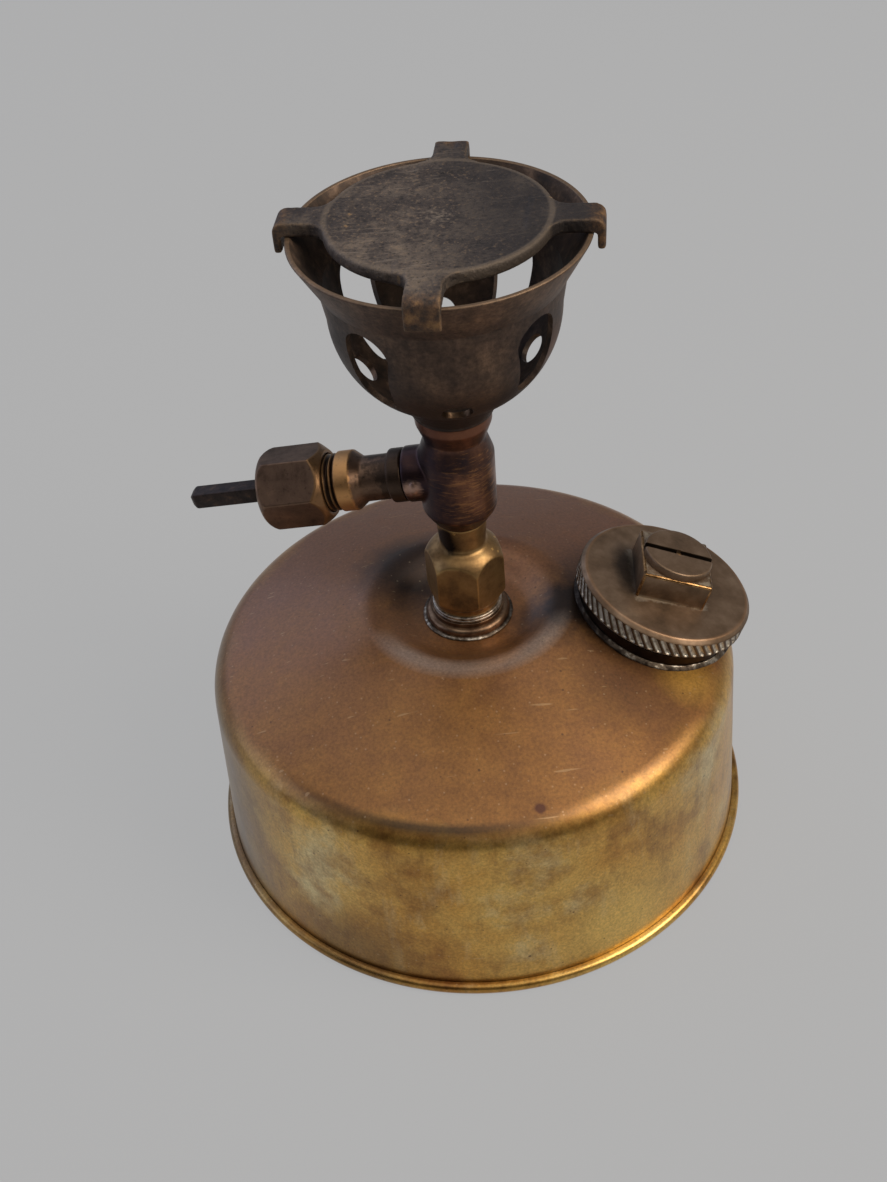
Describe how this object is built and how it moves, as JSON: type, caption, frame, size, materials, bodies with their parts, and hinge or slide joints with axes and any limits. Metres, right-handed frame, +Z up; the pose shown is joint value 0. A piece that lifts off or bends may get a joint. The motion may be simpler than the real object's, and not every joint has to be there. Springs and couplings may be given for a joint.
{
  "type": "petrol vaporiser stove",
  "caption": "Small brass liquid-fuel stove: round tank, screwed filler cap with safety valve, wick-fed riser, needle valve in a side arm, pierced burner bell and a hooked flame plate.",
  "frame": {"origin": "centre of the foot ring, on the surface that the stove stands on", "axes": "+Z up, the filler cap towards +X, the valve arm towards -X and turned a little to +Y"},
  "size_m": [0.115, 0.115, 0.1408],
  "materials": {
    "tank_brass": "brown patina over worn golden sheet brass",
    "bush_brass": "turned brass with bright solder",
    "soft_washer": "soft grey metal sealing washer",
    "riser_brass": "worn turned brass",
    "cotton_wick": "plaited cotton",
    "heat_stained_brass": "heat-stained brass with scratches",
    "arm_brass": "dark brown brass",
    "bright_brass": "clean turned brass",
    "graphite_packing": "graphited cord",
    "spindle_steel": "oxidised steel",
    "bell_brass": "heat-darkened bronze-brown brass",
    "sooty_cast_brass": "sooty rough casting",
    "neck_brass": "brass with a bright solder joint",
    "gasket_rubber": "black fuel-proof rubber",
    "cap_brass": "brown satin brass, bright in the knurl",
    "spring_steel": "spring wire"
  },
  "bodies": {
    "tank": {"tank_shell": "tank_brass", "tank_base": "tank_brass", "burner_bush": "bush_brass", "bush_washer": "soft_washer", "riser": "riser_brass", "wick": "cotton_wick", "vaporizer_tee": "heat_stained_brass", "valve_arm": "arm_brass", "packing_nut": "arm_brass", "spindle_packing": "graphite_packing", "jet": "bright_brass", "burner_bell": "bell_brass", "filler_neck": "neck_brass"},
    "gland": {"gland_ring": "bright_brass"},
    "spindle": {"spindle": "spindle_steel"},
    "gasket": {"cap_gasket": "gasket_rubber"},
    "cap": {"filler_cap": "cap_brass", "relief_screw": "cap_brass", "relief_spring": "spring_steel"},
    "relief_valve": {"relief_plunger": "bright_brass", "relief_seal": "gasket_rubber"},
    "plate": {"flame_plate": "sooty_cast_brass"}
  },
  "joints": [
    {"name": "spindle_turn", "type": "hinge", "parent": "tank", "child": "gland", "pos_m": [-0.03071, 0.00709, 0.08235], "axis": [-0.9596, 0.2215, -0.1736], "range_deg": [0, 720]},
    {"name": "spindle_travel", "type": "slide", "parent": "gland", "child": "spindle", "axis": [-0.9596, 0.2215, -0.1736], "range_m": [0, 0.002]},
    {"name": "cap_lift", "type": "slide", "parent": "tank", "child": "gasket", "axis": [0.3086, -0.0162, 0.9511], "range_m": [0, 0.006]},
    {"name": "cap_turn", "type": "hinge", "parent": "gasket", "child": "cap", "pos_m": [0.03805, -0.00199, 0.04833], "axis": [0.3086, -0.0162, 0.9511], "range_deg": [0, 1440]},
    {"name": "relief_lift", "type": "slide", "parent": "cap", "child": "relief_valve", "axis": [0.3086, -0.0162, 0.9511], "range_m": [0, 0.001], "stiffness_N_per_m": 2000, "springref_m": -0.003, "deforming": ["relief_spring"]},
    {"name": "plate_lift", "type": "slide", "parent": "tank", "child": "plate", "axis": [0, 0, 1], "range_m": [0, 0.03]}
  ],
  "couplings": [
    {"joint": "spindle_turn", "follows": "spindle_travel", "rad_per_m": 6283.2},
    {"joint": "cap_turn", "follows": "cap_lift", "rad_per_m": 4188.8}
  ]
}
